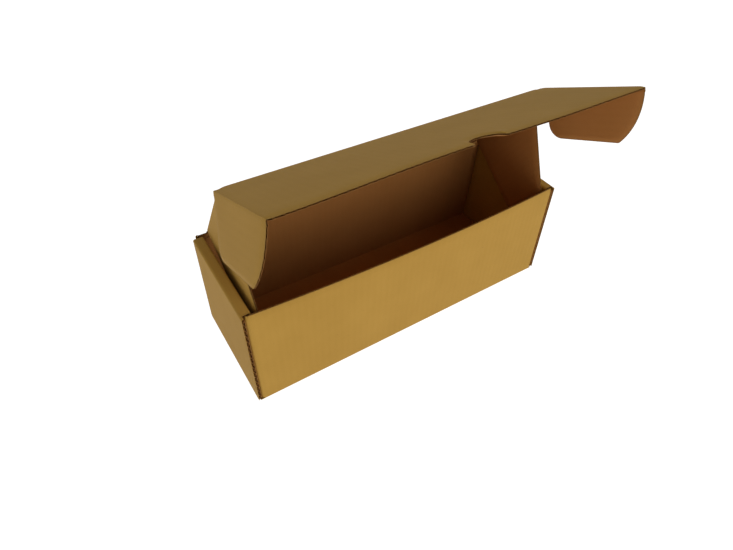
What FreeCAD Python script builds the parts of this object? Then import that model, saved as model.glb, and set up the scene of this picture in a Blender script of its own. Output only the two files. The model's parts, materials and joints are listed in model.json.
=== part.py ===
import FreeCAD, Part
import math
import os
import Sketcher

# A corrugated mailer box folded from one die-cut sheet: a tray with roll-over end walls, a hinged
# lid with two dust flaps, and a tuck flap with a thumb notch and a locking ear at each end.
# Lengths are millimetres and angles degrees. X runs along the box, Y from front to back, Z up,
# and the origin is the middle of the underside of the floor.

SIZES = (
    ("board", 3.0, "thickness of the corrugated board"),
    ("box_length", 320.0, "front wall, fold to fold"),
    ("box_width", 112.0, "outside of the front wall to outside of the back wall, at the floor"),
    ("box_height", 105.0, "underside of the floor to the rim"),
    ("fold_radius", 2.0, "outside rounding of a fixed fold"),
    ("corner_radius", 2.4, "outside rounding where a wall turns into its corner flap"),
    ("layer_gap", 0.15, "air between the layers of an end wall"),
    ("panel_play", 0.3, "clearance beside a panel that slides in next to another"),
    ("crease_gap", 0.2, "half of the slit along a fold that moves"),
    ("end_inset", 5.5, "how far each top corner of an end wall sits in from its bottom corner"),
    ("front_bow", 5.0, "how far the rim of the front wall bulges out between its corners"),
    ("back_lean", 1.5, "how far the top of the back wall leans in"),
    ("hinge_rise", 0.3, "lid fold above the rim of the end walls"),
    ("corner_flap_length", 50.0, "reach of a corner flap from the outside of its wall"),
    ("corner_flap_play", 1.0, "clearance above and below a corner flap"),
    ("corner_flap_taper", 4.0, "how much a corner flap narrows at its top and at its bottom"),
    ("tab_length", 26.0, "length of a lock tab along the floor"),
    ("tab_spacing", 52.0, "distance between the middles of the two tabs of an end wall"),
    ("tab_recess", 0.3, "height of a tab's end above the underside of the floor"),
    ("lid_depth", 106.0, "lid, from the back fold to the front fold"),
    ("ear_play", 0.3, "clearance between a folded ear and the dust flap inside it"),
    ("dust_reach", 85.0, "dust flap, from the top of the lid to its lower edge"),
    ("dust_rear_setback", 5.0, "back edge of a dust flap from the back fold"),
    ("dust_front_setback", 3.0, "front edge of a dust flap from the front fold, at the lid"),
    ("dust_slant_angle", 28.5, "slope of the front edge of a dust flap"),
    ("dust_corner", 8.0, "rounding of a dust flap's lower corners"),
    ("tuck_depth", 101.5, "tuck flap, from its fold to its free edge"),
    ("tuck_side_play", 0.3, "clearance between a side fold of the tuck flap and an end wall"),
    ("notch_radius", 15.5, "thumb notch"),
    ("notch_shift", 1.0, "middle of the thumb notch in from the free edge"),
    ("ear_reach", 46.5, "locking ear, from its fold to its lower edge"),
    ("ear_front_radius", 68.0, "curve of the leading edge of an ear"),
    ("ear_nose", 26.0, "start of the lower edge of an ear behind the tuck flap's free edge"),
    ("ear_rear_setback", 5.5, "back edge of an ear from the tuck flap's fold"),
    ("ear_nose_radius", 3.0, "rounding of the ear's nose"),
    ("ear_heel_radius", 12.0, "rounding of the ear's back corner"),
    ("lid_open_angle", 53.9, "lid, up from lying closed"),
    ("tuck_bend_angle", 29.7, "tuck flap, down from lying flat with the lid"),
    ("ear_bend_left_angle", 76.0, "left ear, down from lying flat with the tuck flap"),
    ("ear_bend_right_angle", 81.0, "right ear, down from lying flat with the tuck flap"),
    ("dust_lean_left_angle", 0.0, "left dust flap, inwards from square to the lid"),
    ("dust_lean_right_angle", 0.0, "right dust flap, inwards from square to the lid"),
)
EDGE_TOLERANCE = 0.01


class Length:
    """A number together with the sheet expression that gives it."""

    def __init__(self, value, text):
        self.value = value
        self.text = text

    def joined(self, other, sign, value):
        return Length(value, "(%s %s %s)" % (self.text, sign, as_length(other).text))

    def __add__(self, other):
        return self.joined(other, "+", self.value + as_length(other).value)

    def __sub__(self, other):
        return self.joined(other, "-", self.value - as_length(other).value)

    def __mul__(self, other):
        return self.joined(other, "*", self.value * as_length(other).value)

    def __truediv__(self, other):
        return self.joined(other, "/", self.value / as_length(other).value)

    def __neg__(self):
        return Length(-self.value, "(0 - %s)" % self.text)


def as_length(number):
    if isinstance(number, Length):
        return number
    return Length(float(number), repr(float(number)))


def tangent(angle):
    return Length(math.tan(math.radians(angle.value)), "tan(%s * 1 deg)" % angle.text)


def fill_sheet(document):
    """The driving dimensions, one row each, and the same values by name."""
    sheet = document.addObject("Spreadsheet::Sheet", "Sizes")
    lengths = {}
    for row, (alias, value, meaning) in enumerate(SIZES, start=1):
        sheet.set("A%d" % row, alias)
        sheet.set("B%d" % row, str(value))
        sheet.set("C%d" % row, meaning)
        sheet.setAlias("B%d" % row, alias)
        lengths[alias] = Length(value, "Sizes." + alias)
    document.recompute()
    return lengths


def base_plane(body, role):
    return next(feature for feature in body.Origin.OriginFeatures if feature.Role == role)


def new_sketch(body, name, role, height=None, lean=None):
    """A sketch on an origin plane, moved along its normal and leant about its own first axis."""
    sketch = body.newObject("Sketcher::SketchObject", name)
    sketch.AttachmentSupport = (base_plane(body, role), [""])
    sketch.MapMode = "FlatFace"
    if lean is not None:
        turn = FreeCAD.Rotation(FreeCAD.Vector(1, 0, 0), lean.value)
        sketch.AttachmentOffset = FreeCAD.Placement(FreeCAD.Vector(), turn)
    if height is not None:
        sketch.setExpression("AttachmentOffset.Base.z", height.text)
    return sketch


def arc_through(start, end, radius):
    """The short arc between the points, which bulges to the right of the way there for radius > 0.

    It is drawn anticlockwise either way, as a sketch wants it.
    """
    chord = end - start
    half = chord.Length / 2
    rise = abs(radius) - math.sqrt(radius * radius - half * half)
    side = FreeCAD.Vector(chord.y, -chord.x, 0).normalize()
    top = (start + end) / 2 + side * math.copysign(rise, radius)
    if radius > 0:
        return Part.Arc(start, top, end)
    return Part.Arc(end, top, start)


def draw_loop(sketch, corners, arcs=None):
    """A closed outline: corners are pairs of lengths, arcs gives the radius of a curved side."""
    arcs = arcs or {}
    first = sketch.GeometryCount
    count = len(corners)
    points = [FreeCAD.Vector(x.value, y.value, 0) for x, y in corners]
    ends = []
    for side in range(count):
        start = points[side]
        end = points[(side + 1) % count]
        if side in arcs:
            sketch.addGeometry(arc_through(start, end, arcs[side][0] * arcs[side][1].value), False)
        else:
            sketch.addGeometry(Part.LineSegment(start, end), False)
        drawn = sketch.Geometry[first + side].StartPoint
        ends.append((1, 2) if (drawn - start).Length < EDGE_TOLERANCE else (2, 1))
    for side in range(count):
        after = (side + 1) % count
        sketch.addConstraint(Sketcher.Constraint(
            "Coincident", first + side, ends[side][1], first + after, ends[after][0]))
    for side, (x, y) in enumerate(corners):
        for kind, length in (("DistanceX", x), ("DistanceY", y)):
            index = sketch.addConstraint(Sketcher.Constraint(
                kind, -1, 1, first + side, ends[side][0], length.value))
            name = "%s_%d" % (kind, first + side)
            sketch.renameConstraint(index, name)
            sketch.setExpression("Constraints." + name, length.text)
    for side, (_, radius) in arcs.items():
        index = sketch.addConstraint(Sketcher.Constraint("Radius", first + side, radius.value))
        name = "Radius_%d" % (first + side)
        sketch.renameConstraint(index, name)
        sketch.setExpression("Constraints." + name, radius.text)


def draw_circle(sketch, centre_y, radius):
    circle = Part.Circle(FreeCAD.Vector(0, centre_y.value, 0), FreeCAD.Vector(0, 0, 1), radius.value)
    edge = sketch.addGeometry(circle, False)
    sketch.addConstraint(Sketcher.Constraint("PointOnObject", edge, 3, -2))
    place = sketch.addConstraint(Sketcher.Constraint("DistanceY", -1, 1, edge, 3, centre_y.value))
    sketch.renameConstraint(place, "centre")
    sketch.setExpression("Constraints.centre", centre_y.text)
    size = sketch.addConstraint(Sketcher.Constraint("Radius", edge, radius.value))
    sketch.renameConstraint(size, "radius")
    sketch.setExpression("Constraints.radius", radius.text)


def add_pad(body, name, sketch, length, midplane=False, backwards=False):
    pad = body.newObject("PartDesign::Pad", name)
    pad.Profile = sketch
    pad.setExpression("Length", length.text)
    pad.Midplane = midplane
    pad.Reversed = backwards
    body.Document.recompute()
    return pad


def add_pocket(body, name, sketch):
    pocket = body.newObject("PartDesign::Pocket", name)
    pocket.Profile = sketch
    pocket.Type = "ThroughAll"
    pocket.Midplane = True
    before = body.Shape.Volume
    body.Document.recompute()
    if body.Shape.Volume >= before:
        raise RuntimeError("%s removes nothing" % name)
    return pocket


def add_loft(body, name, first, last):
    loft = body.newObject("PartDesign::AdditiveLoft", name)
    loft.Profile = first
    loft.Sections = [last]
    loft.Ruled = True
    body.Document.recompute()
    return loft


def round_edges(body, name, radius, wanted, ways=("lengthwise",)):
    """A fillet on those edges whose ends both satisfy wanted and that run one of the given ways.

    A crosswise edge changes in X from end to end, and a lengthwise one keeps its X.
    """
    base = body.Tip
    edges = []
    for number, edge in enumerate(base.Shape.Edges, start=1):
        ends = [vertex.Point for vertex in edge.Vertexes]
        if len(ends) != 2 or not all(wanted(point) for point in ends):
            continue
        way = "lengthwise" if abs(ends[0].x - ends[1].x) < EDGE_TOLERANCE else "crosswise"
        if way in ways:
            edges.append("Edge%d" % number)
    fillet = body.newObject("PartDesign::Fillet", name)
    fillet.Base = (base, edges)
    fillet.setExpression("Radius", radius.text)
    body.Document.recompute()
    return fillet


def near(value, target):
    return abs(value - target.value) < EDGE_TOLERANCE


def box_corners(low_x, high_x, low_y, high_y):
    return [(low_x, low_y), (high_x, low_y), (high_x, high_y), (low_x, high_y)]


def build_tray(document, size):
    """Floor, four walls, corner flaps and the rolled end walls, all one sheet."""
    body = document.addObject("PartDesign::Body", "tray")
    board = size["board"]
    zero = as_length(0)
    half_length = size["box_length"] / 2
    half_width = size["box_width"] / 2
    end_face = half_length + size["layer_gap"] + board
    lining_face = half_length - board - size["layer_gap"]
    lining_inside = lining_face - board
    front_top = half_width - size["end_inset"]
    rear_top = half_width - size["back_lean"]
    rim = size["box_height"]

    sketch = new_sketch(body, "floor_outline", "XY_Plane")
    draw_loop(sketch, box_corners(-end_face, end_face, -half_width, half_width))
    add_pad(body, "floor", sketch, board)
    round_edges(body, "floor_folds", size["fold_radius"], lambda point: near(point.z, zero),
                ways=("lengthwise", "crosswise"))
    add_slots(body, size, half_length + size["layer_gap"], lining_inside - size["panel_play"])

    for side, sign in (("left", -1), ("right", 1)):
        add_end_wall(body, size, side, sign, end_face, lining_face, lining_inside)
    round_edges(body, "rim_folds_outside", size["fold_radius"],
                lambda point: near(point.z, rim) and near(abs(point.x), end_face))
    round_edges(body, "rim_folds_inside", size["fold_radius"],
                lambda point: near(point.z, rim) and near(abs(point.x), lining_inside))

    crease = rim + size["hinge_rise"] - size["crease_gap"]
    add_wall(body, size, "front_wall", -1, front_top, rim, size["front_bow"])
    add_wall(body, size, "back_wall", 1, rear_top, crease)
    sketch = new_sketch(body, "hinge_mitre_section", "YZ_Plane")
    draw_loop(sketch, [(rear_top, crease), (rear_top - board, crease),
                       (rear_top - board, crease - board)])
    add_pocket(body, "hinge_mitre", sketch)

    for side, place in (("left", -half_length), ("right", half_length - board)):
        add_corner_flap(body, size, side + "_front", place, -1, size["end_inset"])
        add_corner_flap(body, size, side + "_back", place, 1, size["back_lean"])
    return body


def bow_radius(half_chord, rise):
    return (half_chord * half_chord + rise * rise) / (rise * 2)


def add_wall(body, size, name, sign, top, height, bow=None):
    """Front (sign -1) or back wall, rounded at its ends and leaning in from foot to top."""
    board = size["board"]
    half = size["box_length"] / 2
    corner = size["corner_radius"]
    sections = []
    for level, outer, bulge in ((board, size["box_width"] / 2, None), (height, top, bow)):
        outline = [(-half, outer - corner), (corner - half, outer), (half - corner, outer),
                   (half, outer - corner), (half, outer - board), (-half, outer - board)]
        arcs = {0: (-sign, corner), 2: (-sign, corner)}
        if bulge:
            arcs[1] = (-sign, bow_radius(half - corner, bulge))
            arcs[4] = (sign, bow_radius(half, bulge))
        if sign < 0:
            outline = [(along, -across) for along, across in outline]
        sketch = new_sketch(body, "%s_section_%d" % (name, len(sections)), "XY_Plane", level)
        draw_loop(sketch, outline, arcs)
        sections.append(sketch)
    add_loft(body, name, sections[0], sections[1])


def add_slots(body, size, outer, inner):
    """Four slots in the floor for the lock tabs."""
    sketch = new_sketch(body, "slot_outlines", "XY_Plane")
    half_slot = size["tab_length"] / 2 + size["panel_play"]
    for along in (-size["tab_spacing"] / 2, size["tab_spacing"] / 2):
        draw_loop(sketch, box_corners(-outer, -inner, along - half_slot, along + half_slot))
        draw_loop(sketch, box_corners(inner, outer, along - half_slot, along + half_slot))
    add_pocket(body, "tab_slots", sketch)


def add_end_wall(body, size, side, sign, end_face, lining_face, lining_inside):
    """Outer panel, strip over the rim and lining with two lock tabs."""
    board = size["board"]
    half_width = size["box_width"] / 2
    top_half = half_width - size["end_inset"]
    rim = size["box_height"]
    play = size["panel_play"]
    outer_at = -end_face if sign < 0 else end_face - board
    sketch = new_sketch(body, side + "_end_outline", "YZ_Plane", outer_at)
    draw_loop(sketch, [(-half_width, board), (half_width, board), (top_half, rim), (-top_half, rim)])
    add_pad(body, side + "_end_panel", sketch, board)

    front = board + play - top_half
    low, high = (-end_face, -lining_inside) if sign < 0 else (lining_inside, end_face)
    sketch = new_sketch(body, side + "_rim_outline", "XY_Plane", rim - board)
    draw_loop(sketch, box_corners(low, high, front, top_half))
    add_pad(body, side + "_rim_strip", sketch, board)

    lining_at = -lining_face if sign < 0 else lining_inside
    foot = board + size["layer_gap"]
    foot_front = board + play - half_width
    foot_back = half_width - board - play
    outline = [(foot_front, foot)]
    for middle in (-size["tab_spacing"] / 2, size["tab_spacing"] / 2):
        start = middle - size["tab_length"] / 2
        end = middle + size["tab_length"] / 2
        outline += [(start, foot), (start, size["tab_recess"]), (end, size["tab_recess"]), (end, foot)]
    outline += [(foot_back, foot), (top_half, rim - board), (front, rim - board)]
    sketch = new_sketch(body, side + "_lining_outline", "YZ_Plane", lining_at)
    draw_loop(sketch, outline)
    add_pad(body, side + "_lining", sketch, board)


def add_corner_flap(body, size, name, place, sign, lean):
    """A flap that turns from the front (sign -1) or back wall into the end wall."""
    board = size["board"]
    rim = size["box_height"]
    half_width = size["box_width"] / 2
    low = board + size["corner_flap_play"]
    high = rim - board - size["corner_flap_play"]
    root = half_width - size["corner_radius"]
    tip = half_width - size["corner_flap_length"]
    slope = lean / (rim - board)
    root_low = root - slope * (low - board)
    root_high = root - slope * (high - board)
    taper = size["corner_flap_taper"]
    outline = [(root_low, low), (tip, low + taper), (tip, high - taper), (root_high, high)]
    if sign < 0:
        outline = [(-along, up) for along, up in outline]
    sketch = new_sketch(body, name + "_flap_outline", "YZ_Plane", place)
    draw_loop(sketch, outline)
    add_pad(body, name + "_flap", sketch, board)


def build_lid(document, size):
    """Lid panel and its two dust flaps; the back fold lies along the body's own X axis."""
    body = document.addObject("PartDesign::Body", "lid")
    board = size["board"]
    zero = as_length(0)
    gap = size["crease_gap"]
    depth = size["lid_depth"]
    half = lid_half_length(size)
    sketch = new_sketch(body, "lid_section", "YZ_Plane")
    draw_loop(sketch, [(-gap, zero), (-gap - board, -board), (gap + board - depth, -board),
                       (gap - depth, zero)])
    add_pad(body, "lid_panel", sketch, half * 2, midplane=True)

    foot = depth - size["dust_front_setback"]
    slope = tangent(size["dust_slant_angle"])
    root = board / 2
    reach = size["dust_reach"]
    rear = size["dust_rear_setback"]
    outline = [(-rear, -root), (-rear, -reach), (slope * reach - foot, -reach),
               (slope * root - foot, -root)]
    for side, place, lean in (("left", -half, -size["dust_lean_left_angle"]),
                              ("right", half, size["dust_lean_right_angle"])):
        sketch = new_sketch(body, side + "_dust_outline", "YZ_Plane", place, lean)
        draw_loop(sketch, outline)
        add_pad(body, side + "_dust_flap", sketch, board, backwards=(side == "right"))
    round_edges(body, "lid_side_folds", size["fold_radius"],
                lambda point: near(point.z, zero) and near(abs(point.x), half))
    lowest = -reach.value * math.cos(math.radians(size["dust_lean_right_angle"].value)) + board.value
    round_edges(body, "dust_corners", size["dust_corner"], lambda point: point.z < lowest,
                ways=("crosswise",))
    return body


def tuck_half_length(size):
    """Half the tuck flap between its side folds, which slides in between the linings."""
    lining_inside = size["box_length"] / 2 - size["board"] * 2 - size["layer_gap"]
    return lining_inside - size["tuck_side_play"]


def lid_half_length(size):
    """Half the lid between the outsides of its dust flaps, which lie inside the folded ears."""
    return tuck_half_length(size) - size["board"] - size["ear_play"]


def build_tuck_flap(document, size):
    """Tuck flap with its thumb notch; its fold lies along the body's own X axis."""
    body = document.addObject("PartDesign::Body", "tuck_flap")
    board = size["board"]
    gap = size["crease_gap"]
    depth = size["tuck_depth"]
    half = tuck_half_length(size) - gap
    outside = new_sketch(body, "tuck_outside", "XY_Plane")
    draw_loop(outside, box_corners(-half, half, -depth, -gap))
    inside = new_sketch(body, "tuck_inside", "XY_Plane", -board)
    draw_loop(inside, box_corners(board - half, half - board, -depth, -gap - board))
    add_loft(body, "tuck_panel", outside, inside)
    sketch = new_sketch(body, "notch_outline", "XY_Plane")
    draw_circle(sketch, size["notch_shift"] - depth, size["notch_radius"])
    add_pocket(body, "thumb_notch", sketch)
    return body


def build_ear(document, size, name, sign):
    """A locking ear; its fold lies along the body's own Y axis and sign gives its way out."""
    body = document.addObject("PartDesign::Body", name)
    board = size["board"]
    zero = as_length(0)
    gap = size["crease_gap"]
    free = -size["tuck_depth"]
    rear = -size["ear_rear_setback"]
    outline = [(gap, free), (size["ear_reach"], free + size["ear_nose"]), (size["ear_reach"], rear),
               (gap, rear)]
    mitre = [(gap, zero), (gap + board, -board), (gap - board, -board)]
    if sign < 0:
        outline = [(-across, along) for across, along in outline]
        mitre = [(-across, up) for across, up in mitre]
    sketch = new_sketch(body, name + "_outline", "XY_Plane")
    draw_loop(sketch, outline, {0: (sign, size["ear_front_radius"])})
    add_pad(body, name + "_panel", sketch, board, backwards=True)
    nose = free + size["ear_nose"]
    round_edges(body, name + "_nose", size["ear_nose_radius"],
                lambda point: near(abs(point.x), size["ear_reach"]) and near(point.y, nose))
    round_edges(body, name + "_heel", size["ear_heel_radius"],
                lambda point: near(abs(point.x), size["ear_reach"]) and near(point.y, rear))
    sketch = new_sketch(body, name + "_mitre_section", "XZ_Plane")
    draw_loop(sketch, mitre)
    add_pocket(body, name + "_mitre", sketch)
    return body


def turned(x, y, z, axis, angle):
    return FreeCAD.Placement(FreeCAD.Vector(x, y, z), FreeCAD.Rotation(axis, angle))


def place_flaps(size, lid, tuck_flap, left_ear, right_ear):
    """Each flap hangs on the fold before it: back wall, lid, tuck flap, ears."""
    along = FreeCAD.Vector(1, 0, 0)
    across = FreeCAD.Vector(0, 1, 0)
    hinge_y = (size["box_width"] / 2 - size["back_lean"]).value
    hinge_z = (size["box_height"] + size["hinge_rise"]).value
    lid.Placement = turned(0, hinge_y, hinge_z, along, -size["lid_open_angle"].value)
    tuck_flap.Placement = lid.Placement.multiply(
        turned(0, -size["lid_depth"].value, 0, along, size["tuck_bend_angle"].value))
    side = tuck_half_length(size).value
    left_ear.Placement = tuck_flap.Placement.multiply(
        turned(-side, 0, 0, across, -size["ear_bend_left_angle"].value))
    right_ear.Placement = tuck_flap.Placement.multiply(
        turned(side, 0, 0, across, size["ear_bend_right_angle"].value))


def check_document(document, bodies):
    for item in document.Objects:
        if "Invalid" in item.State or "Error" in item.State:
            raise RuntimeError("%s failed: %s" % (item.Name, item.State))
    for body in bodies:
        if body.Shape.isNull() or not body.Shape.isValid():
            raise RuntimeError("%s has no valid shape" % body.Label)
        if len(body.Shape.Solids) != 1:
            raise RuntimeError("%s is %d solids" % (body.Label, len(body.Shape.Solids)))


def main():
    document = FreeCAD.newDocument("mailer_box")
    size = fill_sheet(document)
    tray = build_tray(document, size)
    lid = build_lid(document, size)
    tuck_flap = build_tuck_flap(document, size)
    left_ear = build_ear(document, size, "left_ear", -1)
    right_ear = build_ear(document, size, "right_ear", 1)
    place_flaps(size, lid, tuck_flap, left_ear, right_ear)
    document.recompute()
    bodies = (tray, lid, tuck_flap, left_ear, right_ear)
    check_document(document, bodies)
    os.makedirs("parts", exist_ok=True)
    for body in bodies:
        body.Shape.exportStep("parts/%s.step" % body.Label)
        print("%s %.0f mm3" % (body.Label, body.Shape.Volume))


main()
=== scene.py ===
import json
import math

import bmesh
import bpy
from mathutils import Euler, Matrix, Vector
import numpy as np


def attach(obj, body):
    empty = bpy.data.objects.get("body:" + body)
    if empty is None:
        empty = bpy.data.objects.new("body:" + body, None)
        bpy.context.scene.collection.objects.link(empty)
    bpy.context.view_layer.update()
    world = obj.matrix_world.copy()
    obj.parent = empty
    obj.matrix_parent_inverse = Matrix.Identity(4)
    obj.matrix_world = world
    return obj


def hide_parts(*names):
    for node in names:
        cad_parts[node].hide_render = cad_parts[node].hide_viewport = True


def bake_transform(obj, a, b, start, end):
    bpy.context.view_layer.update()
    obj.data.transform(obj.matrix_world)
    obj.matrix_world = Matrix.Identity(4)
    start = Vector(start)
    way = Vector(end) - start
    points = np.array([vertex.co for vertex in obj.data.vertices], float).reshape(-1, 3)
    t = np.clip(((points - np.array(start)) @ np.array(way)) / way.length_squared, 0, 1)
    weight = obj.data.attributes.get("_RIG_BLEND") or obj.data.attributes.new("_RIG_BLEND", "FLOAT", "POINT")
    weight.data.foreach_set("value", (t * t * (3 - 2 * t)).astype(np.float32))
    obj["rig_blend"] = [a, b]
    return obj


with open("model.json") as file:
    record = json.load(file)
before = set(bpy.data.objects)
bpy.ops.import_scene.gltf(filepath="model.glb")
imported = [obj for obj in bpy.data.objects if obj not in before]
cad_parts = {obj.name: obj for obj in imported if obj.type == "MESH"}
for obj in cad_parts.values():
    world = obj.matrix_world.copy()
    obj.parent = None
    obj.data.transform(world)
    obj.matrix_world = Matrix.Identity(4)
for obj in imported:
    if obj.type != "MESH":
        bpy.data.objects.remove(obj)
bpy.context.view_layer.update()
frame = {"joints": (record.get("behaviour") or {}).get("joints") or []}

# A corrugated mailer box folded from one sheet of kraft board, its lid raised. Metres throughout:
# X runs along the box, Y from front to back, Z up from the underside of the floor.

# The board: two liners with a fluted medium between them
BOARD = 0.003
LINER = 0.00032
MEDIUM = 0.0002
FLUTE_PITCH = 0.0064

# Its folds that stay, its scores that move, and how far in from a cut the knife presses it.
# NO_CUT stands for the distance where no cut edge is near.
FOLD_RADIUS = 0.002
CORNER_RADIUS = 0.0024
SCORE_HALF = 0.004
SCORE_CRUSH = 0.35
SCORE_DENT = 0.0003
CREASE_SHARE = 0.3
SEAM = 0.0002
CUT_REACH = 0.0026
NO_CUT = 1.0

# How finely the board is drawn
SAMPLES_PER_FLUTE = 10
MEDIUM_ROWS = 2
ROWS = 18
SHORT_ROWS = 6
COLUMNS = 40
CURVED_COLUMNS = 60
TUCK_COLUMNS = 24
NOTCH_COLUMNS = 32
FOLD_STEPS = 6
SCORE_STEPS = 24
SHARP_EDGE = math.radians(35)

# The tray
HALF_LENGTH = 0.160
HALF_WIDTH = 0.056
RIM = 0.105
LAYER_GAP = 0.00015
PLAY = 0.0003
END_FACE = HALF_LENGTH + LAYER_GAP + BOARD
LINING_FACE = HALF_LENGTH - BOARD - LAYER_GAP
LINING_INSIDE = LINING_FACE - BOARD
END_INSET = 0.0055
BACK_LEAN = 0.0015
FRONT_BOW = 0.005
FLAP_LENGTH = 0.050
FLAP_PLAY = 0.001
FLAP_TAPER = 0.004
TAB_LENGTH = 0.026
TAB_SPACING = 0.052
TAB_RECESS = 0.0003

# The lid and its dust flaps
TUCK_HALF = LINING_INSIDE - PLAY
LID_HALF = TUCK_HALF - BOARD - PLAY
LID_DEPTH = 0.106
DUST_REACH = 0.085
DUST_REAR = 0.005
DUST_FRONT = 0.003
DUST_SLANT = math.radians(28.5)
DUST_CORNER = 0.008

# The tuck flap, its thumb notch and the spring in its free edge
TUCK_DEPTH = 0.1015
NOTCH_RADIUS = 0.014
NOTCH_SHIFT = 0.001
NOTCH_MIDDLE = 0.0015
NOTCH_HALF = math.sqrt(NOTCH_RADIUS ** 2 - NOTCH_SHIFT ** 2)
SPRING_MIDDLE = -0.030
SPRING_REACH = 0.110
SPRING_RISE = 0.0016

# The ears
EAR_REACH = 0.0465
EAR_FRONT_RADIUS = 0.068
EAR_NOSE = 0.026
EAR_ROOT = 0.0008
EAR_REAR = 0.0055
EAR_SHOULDER = 0.025
EAR_NOSE_RADIUS = 0.003
EAR_HEEL_RADIUS = 0.012

# Where the folds that move lie, from the joints
JOINTS = {joint["name"]: joint for joint in frame["joints"]}
LID_FOLD = Vector(JOINTS["lid_hinge"]["pos_m"])
TUCK_FOLD = Vector(JOINTS["tuck_fold"]["pos_m"])
EAR_BEND = {-1: math.radians(-JOINTS["left_ear_fold"]["range_deg"][0]),
            1: math.radians(-JOINTS["right_ear_fold"]["range_deg"][0])}
RIGHTWARDS = Vector((1, 0, 0))
LID_ALONG = (TUCK_FOLD - LID_FOLD).normalized()
LID_OUT = LID_ALONG.cross(RIGHTWARDS)
TUCK_ALONG = Vector(JOINTS["left_ear_fold"]["axis"]).normalized()
TUCK_OUT = TUCK_ALONG.cross(RIGHTWARDS)

# How a side of a panel ends: how far its outer and its inner liner stop short of it, and how much
# of the board's thickness the knife has pressed out there
CUT = (0.0, 0.0, 0.6)
OPEN_CUT = (0.0, 0.0, 0.1)
FOLD = (FOLD_RADIUS, BOARD, 0.0)
CORNER = (CORNER_RADIUS, BOARD, 0.0)
JOINED = (0.0, 0.0, 0.0)

# Stored on every vertex: its place across, along and in from the nearest cut edge, and whether it
# lies on the inside of the box
PLACE_LAYER = "board_place"
INSIDE_LAYER = "board_inside"


class Panel:
    """A flat piece of board. Distances across and along lie in its outer face, the flutes run
    along, and depth goes from the outer face towards the inner one."""

    def __init__(self, origin, across, along, inward, bulge=None):
        self.origin = Vector(origin)
        self.across = Vector(across)
        self.along = Vector(along)
        self.inward = Vector(inward)
        self.bulge = bulge

    def point(self, across, along, depth):
        place = self.origin + self.across * across + self.along * along + self.inward * depth
        if self.bulge:
            place += self.bulge(across, along)
        return place


def spread(start, end, count):
    """Evenly spaced places from start to end."""
    return [start + (end - start) * step / count for step in range(count + 1)]


def eased(start, end, count):
    """Places from start to end that lie closer together towards both."""
    return [start + (end - start) * (1 - math.cos(math.pi * step / count)) / 2
            for step in range(count + 1)]


def value_at(edge, across):
    """Where an edge lies: the edge is a number, or a function of the place across."""
    return edge(across) if callable(edge) else edge


def pressed(depth, gap, crush):
    """The depth of a liner at a distance from a cut edge, where the knife flattens the board."""
    share = 1 - crush * math.exp(-(gap / CUT_REACH) ** 2)
    return BOARD / 2 + (depth - BOARD / 2) * share


def layer_of(layers, name):
    return layers.get(name) or layers.new(name)


def add_slab(bm, columns, rows, shape, inside):
    """A closed slab: shape(column, row, is_deep) gives each vertex its point and board place."""
    layer = layer_of(bm.verts.layers.float_vector, PLACE_LAYER)
    inside_layer = layer_of(bm.verts.layers.float, INSIDE_LAYER)
    top = bmesh.ops.create_grid(bm, x_segments=len(columns) - 1, y_segments=len(rows) - 1,
                                size=0.5)["verts"]
    faces = {face for vert in top for face in vert.link_faces}
    deep = [item for item in bmesh.ops.extrude_face_region(bm, geom=list(faces))["geom"]
            if isinstance(item, bmesh.types.BMVert)]
    for verts, is_deep in ((top, False), (deep, True)):
        for vert in verts:
            column = columns[round((vert.co.x + 0.5) * (len(columns) - 1))]
            row = rows[round((vert.co.y + 0.5) * (len(rows) - 1))]
            vert.co, vert[layer] = shape(column, row, is_deep)
            vert[inside_layer] = inside
    bmesh.ops.recalc_face_normals(bm, faces=list({face for vert in top + deep
                                                  for face in vert.link_faces}))
    return top + deep


def add_sheet(bm, panel, across, edges, sides, trims, surface, columns, rows, inside):
    """One sheet of paper of a board, cut back on each side by its trim."""
    first, last = across
    low, high = edges

    def shape(column, row, is_deep):
        start = value_at(low, column) + trims[2]
        end = value_at(high, column) - trims[3]
        along = start + (end - start) * row
        gaps = (column - first, last - column, along - start, end - along)
        cuts = [(max(0.0, gap), side[2]) for side, gap in zip(sides, gaps) if side[2]]
        gap, crush = min(cuts) if cuts else (NO_CUT, 0.0)
        depth = pressed(surface(column, is_deep), gap, crush)
        return panel.point(column, along, depth), (column, along, gap)

    return add_slab(bm, columns, eased(0.0, 1.0, rows), shape, inside)


def clipped(columns, first, last):
    """The columns between first and last, with both of these."""
    inside = [place for place in columns if first < place < last]
    return [first] + inside + [last]


def add_board(bm, panel, across, edges, sides, columns=None, rows=ROWS, holes=()):
    """Both liners and the medium of a panel."""
    first, last = across
    columns = columns or eased(first, last, COLUMNS)

    def flat(depth):
        return lambda column, is_deep: depth + (LINER if is_deep else 0.0)

    def waved(column, is_deep):
        swing = (BOARD - 2 * LINER - MEDIUM) / 2
        wave = swing * math.cos(2 * math.pi * column / FLUTE_PITCH)
        return BOARD / 2 + wave + (MEDIUM if is_deep else -MEDIUM) / 2

    outer = [side[0] for side in sides]
    inner = [side[1] for side in sides]
    for depth, trims, inside in ((0.0, outer, 0.0), (BOARD - LINER, inner, 1.0)):
        places = clipped(columns, first + trims[0], last - trims[1])
        made = add_sheet(bm, panel, across, edges, sides, trims, flat(depth), places, rows, inside)
        cut_holes(bm, made, panel, holes)
    flutes = max(1, round((last - first) / FLUTE_PITCH * SAMPLES_PER_FLUTE))
    places = clipped(spread(first, last, flutes), first + inner[0], last - inner[1])
    made = add_sheet(bm, panel, across, edges, sides, inner, waved, places, MEDIUM_ROWS, 1.0)
    cut_holes(bm, made, panel, holes)


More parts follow.
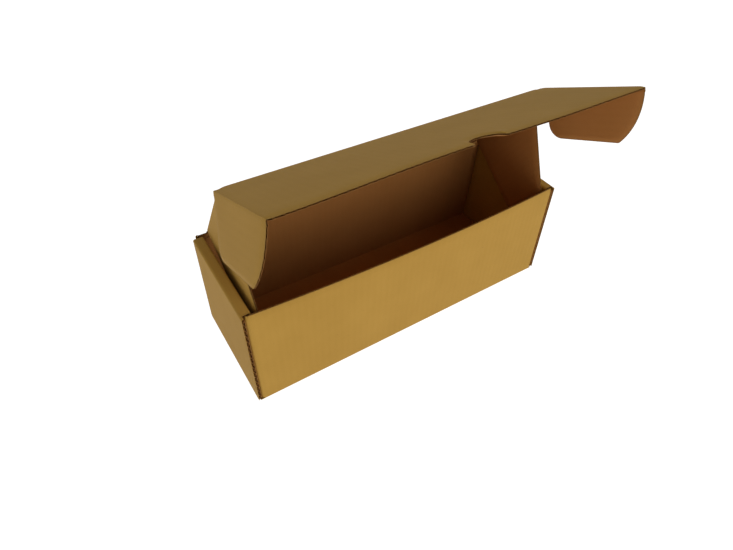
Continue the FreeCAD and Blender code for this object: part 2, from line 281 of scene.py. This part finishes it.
def cut_holes(bm, verts, panel, holes):
    """Rectangular holes right through a sheet."""
    for (first, last), (low, high) in holes:
        lines = ((panel.across, first), (panel.across, last),
                 (panel.along, low), (panel.along, high))
        for normal, distance in lines:
            bmesh.ops.bisect_plane(bm, geom=grown(verts), plane_no=normal,
                                   plane_co=panel.origin + normal * distance)
            verts = island(verts)
        middle = []
        for face in {face for vert in verts for face in vert.link_faces}:
            centre = face.calc_center_median() - panel.origin
            if first < centre.dot(panel.across) < last and low < centre.dot(panel.along) < high:
                middle.append(face)
        bmesh.ops.delete(bm, geom=middle, context="FACES")
        verts = [vert for vert in verts if vert.is_valid]
        rims = [edge for edge in {edge for vert in verts for edge in vert.link_edges}
                if edge.is_boundary]
        bmesh.ops.bridge_loops(bm, edges=rims)


def grown(verts):
    """The verts with their edges and faces."""
    edges = {edge for vert in verts for edge in vert.link_edges}
    faces = {face for vert in verts for face in vert.link_faces}
    return list(verts) + list(edges) + list(faces)


def island(verts):
    """Every vert that hangs together with these."""
    seen = set(verts)
    waiting = list(seen)
    while waiting:
        vert = waiting.pop()
        for edge in vert.link_edges:
            other = edge.other_vert(vert)
            if other not in seen:
                seen.add(other)
                waiting.append(other)
    return list(seen)


def add_fold(bm, start, end, before, after, radius, cuts=(0.0, 0.0)):
    """The outer liner round a fixed fold: the sharp corner runs from start to end, before and
    after are the outward normals on its two sides, and cuts says how crushed its ends are."""
    start, end = Vector(start), Vector(end)
    before, after = Vector(before).normalized(), Vector(after).normalized()
    centre = -(before + after) / (1 + before.dot(after)) * radius
    turn = before.angle(after)
    length = (end - start).length

    def shape(column, row, is_deep):
        way = before * math.sin((1 - row) * turn) + after * math.sin(row * turn)
        way = way / math.sin(turn)
        gap, crush = min((length * column, cuts[0]), (length * (1 - column), cuts[1]))
        depth = pressed(LINER if is_deep else 0.0, gap, crush)
        place = start.lerp(end, column) + centre + way * (radius - depth)
        return place, (radius * turn * row, length * column, gap if crush else NO_CUT)

    add_slab(bm, eased(0.0, 1.0, COLUMNS), spread(0.0, 1.0, FOLD_STEPS), shape, 0.0)


def finish_piece(bm, name, body=None):
    """A piece of kraft board that rides a body and shows in place of its solid."""
    mesh = bpy.data.meshes.new(name)
    bm.to_mesh(mesh)
    bm.free()
    mesh.shade_smooth()
    mesh.set_sharp_from_angle(angle=SHARP_EDGE)
    mesh.materials.append(LINER_PAPER)
    piece = bpy.data.objects.new(name, mesh)
    bpy.context.scene.collection.objects.link(piece)
    if body:
        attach(piece, body)
    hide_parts(*([body] if body else []))
    return piece


# Shader maths

class Field:
    """A number or vector that changes over a surface, kept as a shader socket."""

    def __init__(self, tree, socket):
        self.tree = tree
        self.socket = socket

    def maths(self, operation, *others):
        node = self.tree.nodes.new("ShaderNodeMath")
        node.operation = operation
        for slot, item in zip(node.inputs, (self, *others)):
            plug(self.tree, slot, item)
        return Field(self.tree, node.outputs[0])

    def __add__(self, other):
        return self.maths("ADD", other)

    def __mul__(self, other):
        return self.maths("MULTIPLY", other)

    def __sub__(self, other):
        return self.maths("SUBTRACT", other)

    __radd__ = __add__


def plug(tree, slot, item):
    """Feeds an input from a field or sets it to a constant."""
    if isinstance(item, Field):
        tree.links.new(item.socket, slot)
    else:
        slot.default_value = item


class Paint:
    """The node tree of one material."""

    def __init__(self, name):
        self.material = bpy.data.materials.new(name)
        self.material.use_nodes = True
        self.tree = self.material.node_tree
        self.surface = self.tree.nodes["Principled BSDF"]

    def node(self, kind, output=0, settings=(), **values):
        """An output of a new node. A value's name is its input's name, or _ and its number."""
        made = self.tree.nodes.new("ShaderNode" + kind)
        for name, setting in dict(settings).items():
            setattr(made, name, setting)
        for name, value in values.items():
            key = int(name[1:]) if name[0] == "_" else name
            plug(self.tree, made.inputs[key], value)
        return Field(self.tree, made.outputs[output])

    def noise(self, place, scale, detail, roughness):
        return self.node("TexNoise", Vector=place, Scale=scale, Detail=detail, Roughness=roughness)

    def blend(self, share, first, second):
        """A colour between two colours."""
        return self.node("Mix", 2, {"data_type": "RGBA", "clamp_factor": True},
                         _0=share, _6=first, _7=second)

    def sheet_place(self, stretch):
        """The place on the board, stretched across, along and away from the cut edge."""
        place = self.node("Attribute", 1, {"attribute_name": PLACE_LAYER})
        return self.node("VectorMath", 0, {"operation": "MULTIPLY"}, _0=place, _1=stretch)

    def parts(self, place):
        """The three numbers of a vector."""
        split = self.tree.nodes.new("ShaderNodeSeparateXYZ")
        plug(self.tree, split.inputs[0], place)
        return [Field(self.tree, output) for output in split.outputs]


OUTSIDE_DARK = (0.350, 0.192, 0.030, 1)
OUTSIDE_LIGHT = (0.464, 0.268, 0.054, 1)
# The inside sheet's colours are darker and redder than the outside's: partly a redder liner, partly painted
# shade and the reddish bounce light of the box's shaded inside.
SHADED_INSIDE_DARK = (0.300, 0.124, 0.028, 1)
SHADED_INSIDE_LIGHT = (0.398, 0.173, 0.049, 1)
CUT_BROWN = (0.25, 0.135, 0.035, 1)
FLECK_BROWN = (0.20, 0.105, 0.028, 1)

# The kraft paper's noise: scale, detail and roughness. Its fibres run along the flutes and its
# flecks across them.
CLOUDS = (30.0, 3.0, 0.55)
FIBRES = (2400.0, 3.0, 0.6)
FLECKS = (1500.0, 1.0, 0.5)
AS_IS = (1, 1, 1)
FIBRE_STRETCH = (1.0, 0.25, 0.0)
FLECK_STRETCH = (0.35, 1.0, 0.0)

# How far each of them shows in the paper's tone, and in its height in metres
CLOUD_TONE = 0.55
FIBRE_TONE = 0.5
STRIPE_TONE = 0.03
CLOUD_HEIGHT = 0.0001
FIBRE_HEIGHT = 0.00002
STRIPE_HEIGHT = 0.00002
BUMP_STRENGTH = 0.5
FLECK_START = 0.7
FLECK_CONTRAST = 7.0
EDGE_WEAR_REACH = 0.0009
EDGE_WEAR = 0.45
PAPER_ROUGHNESS = 0.78
FIBRE_ROUGHNESS = 0.2
PAPER_SPECULAR = 0.12


def kraft_liner():
    """Brown kraft paper: long fibres, soft clouds, faint stripes from the flutes, darker cut edges,
    and an inside sheet painted darker and redder than the outside: partly a redder liner, partly
    painted shade and the reddish bounce light of the box's shaded inside."""
    paint = Paint("kraft_liner")
    across, _, gap = paint.parts(paint.sheet_place(AS_IS))
    inside = paint.node("Attribute", 2, {"attribute_name": INSIDE_LAYER})
    solid = paint.node("TexCoord", 3)
    clouds = paint.noise(solid, *CLOUDS)
    fibres = paint.noise(paint.sheet_place(FIBRE_STRETCH), *FIBRES)
    flecks = paint.noise(paint.sheet_place(FLECK_STRETCH), *FLECKS)
    stripes = (across * (2 * math.pi / FLUTE_PITCH)).maths("COSINE")
    edge = (gap * (-1 / EDGE_WEAR_REACH)).maths("EXPONENT")
    tone = ((clouds - 0.5) * CLOUD_TONE + (fibres - 0.5) * FIBRE_TONE
            + stripes * STRIPE_TONE + 0.5)
    # Faces on the inside of the box take the darker, redder colours: partly a redder liner, partly painted
    # shade and bounce light.
    colour = paint.blend(inside, paint.blend(tone, OUTSIDE_DARK, OUTSIDE_LIGHT),
                         paint.blend(tone, SHADED_INSIDE_DARK, SHADED_INSIDE_LIGHT))
    colour = paint.blend((flecks - FLECK_START) * FLECK_CONTRAST, colour, FLECK_BROWN)
    colour = paint.blend(edge * EDGE_WEAR, colour, CUT_BROWN)
    roughness = PAPER_ROUGHNESS + (fibres - 0.5) * FIBRE_ROUGHNESS
    height = stripes * STRIPE_HEIGHT + fibres * FIBRE_HEIGHT + clouds * CLOUD_HEIGHT
    bump = paint.node("Bump", Strength=BUMP_STRENGTH, Distance=1.0, Height=height)
    plug(paint.tree, paint.surface.inputs["Base Color"], colour)
    plug(paint.tree, paint.surface.inputs["Roughness"], roughness)
    plug(paint.tree, paint.surface.inputs["Normal"], bump)
    paint.surface.inputs["Specular IOR Level"].default_value = PAPER_SPECULAR
    return paint.material


LINER_PAPER = kraft_liner()


# The tray

def wall_share(height):
    """How far up a wall a height lies, from the top of the floor to the rim."""
    return min(1.0, max(0.0, (height - BOARD) / (RIM - BOARD)))


def end_half(height):
    """Half the width of an end wall at a height."""
    return HALF_WIDTH - END_INSET * wall_share(height)


def build_floor():
    """The floor, with two slots at each end for the lock tabs and a fold on each of its sides."""
    bm = bmesh.new()
    panel = Panel((0, 0, 0), (1, 0, 0), (0, 1, 0), (0, 0, 1))
    holes = []
    half_slot = TAB_LENGTH / 2 + PLAY
    for sign in (-1, 1):
        ends = sorted((sign * (HALF_LENGTH + LAYER_GAP), sign * (LINING_INSIDE - PLAY)))
        for middle in (-TAB_SPACING / 2, TAB_SPACING / 2):
            holes.append((ends, (middle - half_slot, middle + half_slot)))
    add_board(bm, panel, (-END_FACE, END_FACE), (-HALF_WIDTH, HALF_WIDTH), (FOLD,) * 4,
              holes=holes)
    for sign in (-1, 1):
        add_fold(bm, (-END_FACE + FOLD_RADIUS, sign * HALF_WIDTH, 0),
                 (END_FACE - FOLD_RADIUS, sign * HALF_WIDTH, 0),
                 (0, 0, -1), (0, sign, 0), FOLD_RADIUS)
        add_fold(bm, (sign * END_FACE, -HALF_WIDTH + FOLD_RADIUS, 0),
                 (sign * END_FACE, HALF_WIDTH - FOLD_RADIUS, 0),
                 (0, 0, -1), (sign, 0, 0), FOLD_RADIUS)
    finish_piece(bm, "floor_panel", "tray")


def build_front_wall():
    """The front wall, which leans in and bows out along its upper edge."""
    bm = bmesh.new()
    height = RIM - BOARD
    along = Vector((0, END_INSET, height))

    def bulge(across, up):
        share = max(0.0, up / along.length)
        return Vector((0, -FRONT_BOW * share * (1 - (across / HALF_LENGTH) ** 2), 0))

    panel = Panel((0, -HALF_WIDTH, BOARD), (1, 0, 0), along.normalized(), (0, 1, 0), bulge)
    below = FOLD_RADIUS - BOARD
    add_board(bm, panel, (-HALF_LENGTH, HALF_LENGTH), (below, along.length),
              (CORNER, CORNER, JOINED, CUT))
    for sign in (-1, 1):
        start = Vector((sign * HALF_LENGTH, -HALF_WIDTH, BOARD))
        add_fold(bm, start, start + along, (0, -1, 0), (sign, 0, 0), CORNER_RADIUS, (0.0, CUT[2]))
    finish_piece(bm, "front_wall", "tray")


def build_back_wall():
    """The back wall up to the lid's score, with a shoulder beside the score at each end."""
    bm = bmesh.new()
    top = LID_FOLD.z - SEAM
    along = Vector((0, -BACK_LEAN, top - BOARD))
    panel = Panel((0, HALF_WIDTH, BOARD), (1, 0, 0), along.normalized(), (0, -1, 0))
    below = FOLD_RADIUS - BOARD
    shoulder = along.length - SCORE_HALF
    add_board(bm, panel, (-HALF_LENGTH, HALF_LENGTH), (below, shoulder),
              (CORNER, CORNER, JOINED, JOINED))
    for sign in (-1, 1):
        ends = sorted((sign * LID_HALF, sign * HALF_LENGTH))
        sides = (CORNER, CUT) if sign < 0 else (CUT, CORNER)
        add_board(bm, panel, ends, (shoulder, along.length), sides + (JOINED, CUT),
                  rows=SHORT_ROWS)
        start = Vector((sign * HALF_LENGTH, HALF_WIDTH, BOARD))
        add_fold(bm, start, start + along, (0, 1, 0), (sign, 0, 0), CORNER_RADIUS)
    finish_piece(bm, "back_wall", "tray")


def build_corner_flaps():
    """Four flaps that turn from the front and back walls into the end walls."""
    for end_name, end_sign in (("left", -1), ("right", 1)):
        for side_name, side_sign, lean in (("front", -1, END_INSET), ("back", 1, BACK_LEAN)):
            name = "%s_%s_corner_flap" % (end_name, side_name)
            build_corner_flap(name, end_sign, side_sign, lean)


def build_corner_flap(name, end_sign, side_sign, lean):
    """A tapered flap that leans in beside its fold, as the wall that it turns from does."""
    slope = FLAP_TAPER / (FLAP_LENGTH - CORNER_RADIUS)

    def lean_in(across, up):
        near = max(0.0, 1 - across / FLAP_LENGTH)
        return Vector((0, -side_sign * lean * wall_share(up) * near, 0))

    def lower_edge(across):
        return BOARD + FLAP_PLAY + slope * (across - CORNER_RADIUS)

    def upper_edge(across):
        return RIM - BOARD - FLAP_PLAY - slope * (across - CORNER_RADIUS)

    bm = bmesh.new()
    panel = Panel((end_sign * HALF_LENGTH, side_sign * HALF_WIDTH, 0), (0, -side_sign, 0),
                  (0, 0, 1), (-end_sign, 0, 0), lean_in)
    add_board(bm, panel, (CORNER_RADIUS, FLAP_LENGTH), (lower_edge, upper_edge),
              (JOINED, CUT, CUT, CUT))
    finish_piece(bm, name, "tray")


def build_end_walls():
    for name, sign in (("left", -1), ("right", 1)):
        build_end_panel(name, sign)
        build_rim_strip(name, sign)
        build_lining(name, sign)


def build_end_panel(name, sign):
    bm = bmesh.new()
    panel = Panel((sign * END_FACE, 0, 0), (0, 0, 1), (0, 1, 0), (-sign, 0, 0))
    add_board(bm, panel, (0, RIM), (lambda up: -end_half(up), end_half),
              (FOLD, FOLD, OPEN_CUT, OPEN_CUT))
    finish_piece(bm, name + "_end_panel", "tray")


def build_rim_strip(name, sign):
    """The strip over the rim, with a fold along each side of it."""
    bm = bmesh.new()
    front = BOARD + PLAY - end_half(RIM)
    back = end_half(RIM)
    width = END_FACE - LINING_INSIDE
    panel = Panel((sign * END_FACE, 0, RIM), (-sign, 0, 0), (0, 1, 0), (0, 0, -1))
    add_board(bm, panel, (0, width), (front, back), (FOLD, FOLD, OPEN_CUT, OPEN_CUT))
    add_fold(bm, (sign * END_FACE, -back, RIM), (sign * END_FACE, back, RIM), (sign, 0, 0),
             (0, 0, 1), FOLD_RADIUS)
    add_fold(bm, (sign * LINING_INSIDE, front, RIM), (sign * LINING_INSIDE, back, RIM), (0, 0, 1),
             (-sign, 0, 0), FOLD_RADIUS)
    finish_piece(bm, name + "_rim_strip", "tray")


def build_lining(name, sign):
    """The inner half of an end wall, held by two tabs in the floor's slots."""
    bm = bmesh.new()
    foot = BOARD + LAYER_GAP
    margin = BOARD + PLAY
    panel = Panel((sign * LINING_INSIDE, 0, 0), (0, 0, 1), (0, 1, 0), (sign, 0, 0))

    def front(up):
        return margin - end_half(up)

    def back(up):
        share = wall_share(up)
        return (HALF_WIDTH - margin) * (1 - share) + end_half(RIM) * share

    add_board(bm, panel, (foot, RIM), (front, back), (CUT, FOLD, CUT, CUT))
    for middle in (-TAB_SPACING / 2, TAB_SPACING / 2):
        ends = (middle - TAB_LENGTH / 2, middle + TAB_LENGTH / 2)
        add_board(bm, panel, (TAB_RECESS, foot), ends, (CUT, JOINED, CUT, CUT), rows=SHORT_ROWS)
    finish_piece(bm, name + "_lining", "tray")


# The lid

def lid_point(across, along, up):
    return LID_FOLD + RIGHTWARDS * across + LID_ALONG * along + LID_OUT * up


def build_lid_panel():
    bm = bmesh.new()
    panel = Panel(LID_FOLD, RIGHTWARDS, LID_ALONG, -LID_OUT)
    add_board(bm, panel, (-LID_HALF, LID_HALF), (SCORE_HALF, LID_DEPTH - SCORE_HALF),
              (FOLD, FOLD, JOINED, JOINED))
    finish_piece(bm, "lid_panel", "lid")


def dust_front_edge(down):
    """The front edge of a dust flap below the lid: a slope, then its rounded corner."""
    start = LID_DEPTH - DUST_FRONT
    turn = DUST_REACH - DUST_CORNER
    if down <= turn + DUST_CORNER * math.sin(DUST_SLANT):
        return start - math.tan(DUST_SLANT) * down
    centre = start - (DUST_CORNER + turn * math.sin(DUST_SLANT)) / math.cos(DUST_SLANT)
    return centre + circle_rise(DUST_CORNER, down - turn)


def dust_rear_edge(down):
    turn = DUST_REACH - DUST_CORNER
    if down <= turn:
        return DUST_REAR
    return DUST_REAR + DUST_CORNER - circle_rise(DUST_CORNER, down - turn)


def circle_rise(radius, reach):
    """How high a circle stands over its middle at a distance to the side."""
    return math.sqrt(max(0.0, radius * radius - reach * reach))


def build_dust_flaps():
    """The flap that hangs down at each end of the lid, and its fold."""
    for name, sign in (("left", -1), ("right", 1)):
        bm = bmesh.new()
        outward = RIGHTWARDS * sign
        panel = Panel(LID_FOLD + outward * LID_HALF, -LID_OUT, LID_ALONG, -outward)
        add_board(bm, panel, (0, DUST_REACH), (dust_rear_edge, dust_front_edge),
                  (FOLD, CUT, CUT, CUT), eased(0, DUST_REACH, CURVED_COLUMNS))
        add_fold(bm, lid_point(sign * LID_HALF, DUST_REAR, 0),
                 lid_point(sign * LID_HALF, LID_DEPTH - DUST_FRONT, 0), LID_OUT, outward,
                 FOLD_RADIUS, (CUT[2], CUT[2]))
        finish_piece(bm, name + "_dust_flap", "lid")


# The tuck flap and its ears

def tuck_free_edge(across):
    """The free edge of the tuck flap, with the thumb notch near its middle."""
    reach = across - NOTCH_MIDDLE
    if abs(reach) >= NOTCH_HALF:
        return TUCK_DEPTH
    return TUCK_DEPTH - NOTCH_SHIFT - circle_rise(NOTCH_RADIUS, reach)


def build_tuck_flap():
    bm = bmesh.new()

    def spring(across, along):
        """The free edge stands up a little near its middle."""
        share = max(0.0, 1 - ((across - SPRING_MIDDLE) / SPRING_REACH) ** 2) ** 2
        return TUCK_OUT * SPRING_RISE * share * (max(0.0, along) / TUCK_DEPTH) ** 2

    panel = Panel(TUCK_FOLD, RIGHTWARDS, TUCK_ALONG, -TUCK_OUT, spring)
    side = TUCK_HALF - SCORE_HALF
    start, end = NOTCH_MIDDLE - NOTCH_HALF, NOTCH_MIDDLE + NOTCH_HALF
    columns = (eased(-side, start, TUCK_COLUMNS) + eased(start, end, NOTCH_COLUMNS)[1:]
               + eased(end, side, TUCK_COLUMNS)[1:])
    add_board(bm, panel, (-side, side), (SCORE_HALF, tuck_free_edge),
              (JOINED, JOINED, JOINED, CUT), columns)
    finish_piece(bm, "tuck_flap_panel", "tuck_flap")


def ear_front_edge(out):
    """The leading edge of an ear: a long curve, then its rounded nose."""
    chord = math.hypot(EAR_REACH, EAR_NOSE)
    height = circle_rise(EAR_FRONT_RADIUS, chord / 2)
    centre_out = EAR_REACH / 2 - height * EAR_NOSE / chord
    centre_along = TUCK_DEPTH - EAR_NOSE / 2 - height * EAR_REACH / chord
    nose_out = EAR_REACH - EAR_NOSE_RADIUS
    inner = EAR_FRONT_RADIUS - EAR_NOSE_RADIUS
    touch = centre_out + (nose_out - centre_out) * EAR_FRONT_RADIUS / inner
    if out <= touch:
        return centre_along + circle_rise(EAR_FRONT_RADIUS, out - centre_out)
    nose_along = centre_along + circle_rise(inner, nose_out - centre_out)
    return nose_along + circle_rise(EAR_NOSE_RADIUS, out - nose_out)


def ear_rear_edge(out):
    """The rear edge of an ear: a slope from its root, a level stretch, then its rounded heel."""
    heel = EAR_REACH - EAR_HEEL_RADIUS
    if out <= heel:
        return EAR_REAR - (EAR_REAR - EAR_ROOT) * max(0.0, 1 - out / EAR_SHOULDER)
    return EAR_REAR + EAR_HEEL_RADIUS - circle_rise(EAR_HEEL_RADIUS, out - heel)


def ear_ways(sign):
    """The directions out from the fold and inwards through an ear."""
    bend = EAR_BEND[sign]
    out = RIGHTWARDS * sign * math.cos(bend) - TUCK_OUT * math.sin(bend)
    inward = -RIGHTWARDS * sign * math.sin(bend) - TUCK_OUT * math.cos(bend)
    return out, inward


def build_ears():
    """The two ears, bent down from the ends of the tuck flap as far as their joints say."""
    for name, sign in (("left_ear", -1), ("right_ear", 1)):
        bm = bmesh.new()
        out, inward = ear_ways(sign)
        panel = Panel(TUCK_FOLD + RIGHTWARDS * sign * TUCK_HALF, out, TUCK_ALONG, inward)
        add_board(bm, panel, (SCORE_HALF, EAR_REACH), (ear_rear_edge, ear_front_edge),
                  (JOINED, CUT, CUT, CUT), eased(SCORE_HALF, EAR_REACH, CURVED_COLUMNS))
        finish_piece(bm, name + "_panel", name)


# The folds that move

def build_score(name, bodies, line, before, after):
    """Both liners across a moving fold, pressed together along the crease: before and after are
    each a way from the fold and the outward normal there."""
    start, end = (Vector(point) for point in line)
    length = (end - start).length
    (back_way, back_out), (front_way, front_out) = before, after
    turn = back_out.angle(front_out)
    bm = bmesh.new()
    for level, inside in ((0.0, 0.0), (BOARD - LINER, 1.0)):

        def shape(column, row, is_deep):
            share = 2 * row - 1
            way = back_way if share < 0 else front_way
            normal = back_out * math.sin((1 - row) * turn) + front_out * math.sin(row * turn)
            crease = math.exp(-(share / CREASE_SHARE) ** 2)
            depth = (level + (LINER if is_deep else 0.0)) * (1 - SCORE_CRUSH * crease)
            gap = length * min(column, 1 - column)
            depth = pressed(depth + SCORE_DENT * crease, gap, CUT[2])
            place = start.lerp(end, column) + way * abs(share) * SCORE_HALF
            place -= normal / math.sin(turn) * depth
            return place, (length * column, share * SCORE_HALF, gap)

        add_slab(bm, eased(0.0, 1.0, COLUMNS), spread(0.0, 1.0, SCORE_STEPS), shape, inside)
    piece = finish_piece(bm, name)
    middle = start.lerp(end, 0.5)
    first = middle + back_way * SCORE_HALF - back_out * BOARD / 2
    last = middle + front_way * SCORE_HALF - front_out * BOARD / 2
    inset = (last - first).normalized() * BOARD / 2 * math.sin(turn / 2)
    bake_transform(piece, *bodies, start=first + inset, end=last - inset)


def build_scores():
    wall_way = Vector((0, BACK_LEAN, BOARD - RIM)).normalized()
    wall_out = wall_way.cross(-RIGHTWARDS)
    build_score("lid_score", ("tray", "lid"),
                (lid_point(-LID_HALF, 0, 0), lid_point(LID_HALF, 0, 0)),
                (wall_way, wall_out), (LID_ALONG, LID_OUT))
    side = RIGHTWARDS * (TUCK_HALF - SCORE_HALF)
    build_score("tuck_score", ("lid", "tuck_flap"), (TUCK_FOLD - side, TUCK_FOLD + side),
                (-LID_ALONG, LID_OUT), (TUCK_ALONG, TUCK_OUT))
    for name, sign in (("left_ear", -1), ("right_ear", 1)):
        out, inward = ear_ways(sign)
        fold = TUCK_FOLD + RIGHTWARDS * sign * TUCK_HALF
        build_score(name + "_score", ("tuck_flap", name),
                    (fold + TUCK_ALONG * EAR_ROOT, fold + TUCK_ALONG * (TUCK_DEPTH - SEAM)),
                    (-RIGHTWARDS * sign, TUCK_OUT), (out, -inward))


# The studio

# The camera: its place, its turn in degrees, and its lens and sensor in millimetres
CAMERA_PLACE = (-0.22683, -0.30084, 0.40686)
CAMERA_TURN = (44.2967, -2.0912, -32.4672)
CAMERA_LENS = 25.964
SENSOR_WIDTH = 36.0
CLOSEST_SIGHT = 0.01

# The white ground, just below the box, and how much it glows
GROUND_RADIUS = 6.0
GROUND_SIDES = 64
GROUND_DROP = 0.0002
GROUND_GREY = (0.3, 0.3, 0.3, 1)
GROUND_ROUGHNESS = 0.9
GROUND_GLOW = 0.97

# The white walls: how high they begin to darken and where the ceiling begins, as sines of the
# height seen from the box, how bright both are, and how much brighter they are on the right
WALL_TOP = (0.3, 0.8)
WALL_LIGHT = 0.62
CEILING_LIGHT = 0.1
RIGHT_SHARE = 0.45
WHITE = (1, 1, 1, 1)

# The lamps: place, what they point at, size and power
FRONT_LIGHT = ((0.60, -1.62, 0.93), (0, 0, 0.08), 1.5, 13.2)
TOP_LIGHT = ((-0.5, 0.5, 1.45), (0, 0, 0.1), 1.0, 3.6)


def build_camera():
    lens = bpy.data.cameras.new("camera")
    lens.lens = CAMERA_LENS
    lens.sensor_width = SENSOR_WIDTH
    lens.clip_start = CLOSEST_SIGHT
    camera = bpy.data.objects.new("camera", lens)
    camera.location = CAMERA_PLACE
    camera.rotation_euler = Euler([math.radians(angle) for angle in CAMERA_TURN])
    bpy.context.scene.collection.objects.link(camera)
    bpy.context.scene.camera = camera


def build_ground():
    bm = bmesh.new()
    bmesh.ops.create_circle(bm, cap_ends=True, segments=GROUND_SIDES, radius=GROUND_RADIUS)
    mesh = bpy.data.meshes.new("studio_floor")
    bm.to_mesh(mesh)
    bm.free()
    ground = bpy.data.objects.new("studio_floor", mesh)
    ground.location.z = -GROUND_DROP
    paint = Paint("studio_white")
    for name, value in (("Base Color", GROUND_GREY), ("Roughness", GROUND_ROUGHNESS),
                        ("Emission Color", WHITE), ("Emission Strength", GROUND_GLOW)):
        paint.surface.inputs[name].default_value = value
    mesh.materials.append(paint.material)
    bpy.context.scene.collection.objects.link(ground)


def build_walls():
    """White studio walls that darken towards the ceiling and the left."""
    world = bpy.data.worlds.new("studio_walls")
    bpy.context.scene.world = world
    world.use_nodes = True
    tree = world.node_tree
    direction = tree.nodes.new("ShaderNodeTexCoord")
    split = tree.nodes.new("ShaderNodeSeparateXYZ")
    tree.links.new(direction.outputs["Generated"], split.inputs[0])
    right, _, up = (Field(tree, output) for output in split.outputs)
    share = (up - WALL_TOP[0]) * (1 / (WALL_TOP[1] - WALL_TOP[0]))
    share = share.maths("MAXIMUM", 0.0).maths("MINIMUM", 1.0)
    light = (share * (CEILING_LIGHT - WALL_LIGHT) + WALL_LIGHT) * (right * RIGHT_SHARE + 1.0)
    backdrop = tree.nodes["Background"]
    plug(tree, backdrop.inputs["Strength"], light)
    backdrop.inputs["Color"].default_value = WHITE


def add_light(name, place, target, size, power):
    light = bpy.data.lights.new(name, "AREA")
    light.size = size
    light.energy = power
    lamp = bpy.data.objects.new(name, light)
    lamp.location = place
    lamp.rotation_euler = (Vector(target) - Vector(place)).to_track_quat("-Z", "Y").to_euler()
    bpy.context.scene.collection.objects.link(lamp)


def main():
    build_floor()
    build_front_wall()
    build_back_wall()
    build_corner_flaps()
    build_end_walls()
    build_lid_panel()
    build_dust_flaps()
    build_tuck_flap()
    build_ears()
    build_scores()
    build_ground()
    build_walls()
    add_light("front_light", *FRONT_LIGHT)
    add_light("top_light", *TOP_LIGHT)
    build_camera()
    bpy.context.scene.view_settings.view_transform = "Standard"


main()
